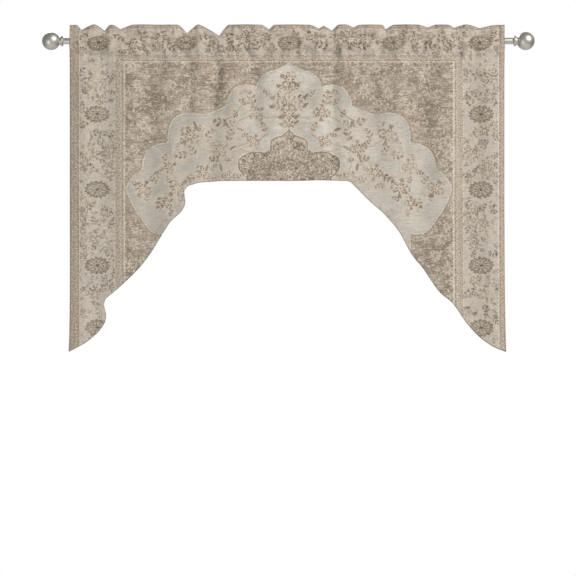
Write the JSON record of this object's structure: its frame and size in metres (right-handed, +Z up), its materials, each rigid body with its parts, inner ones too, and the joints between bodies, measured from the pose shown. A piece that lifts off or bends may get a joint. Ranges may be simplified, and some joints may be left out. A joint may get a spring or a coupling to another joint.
{
  "type": "swag and tail drape on a curtain rod",
  "caption": "Rod pocket swag valance with a long pointed tail at each side, printed with a faded rug pattern and gathered on a round metal rod with ball finials",
  "frame": {"origin": "on the rod's axis, halfway along the rod", "axes": "+X along the rod to the right as seen from the front, +Y to the back towards the wall, +Z up; the printed face looks to -Y"},
  "size_m": [1.373, 0.05, 0.913],
  "materials": {
    "printed_cloth": "plain woven polyester with a linen look, printed on its face with a faded traditional rug pattern, paler on its back",
    "satin_nickel": "satin nickel plated, fine turned and drawn marks"
  },
  "bodies": {
    "root": {"swag_panel": "printed_cloth", "rod": "satin_nickel", "finial_left": "satin_nickel", "finial_right": "satin_nickel"}
  },
  "joints": []
}
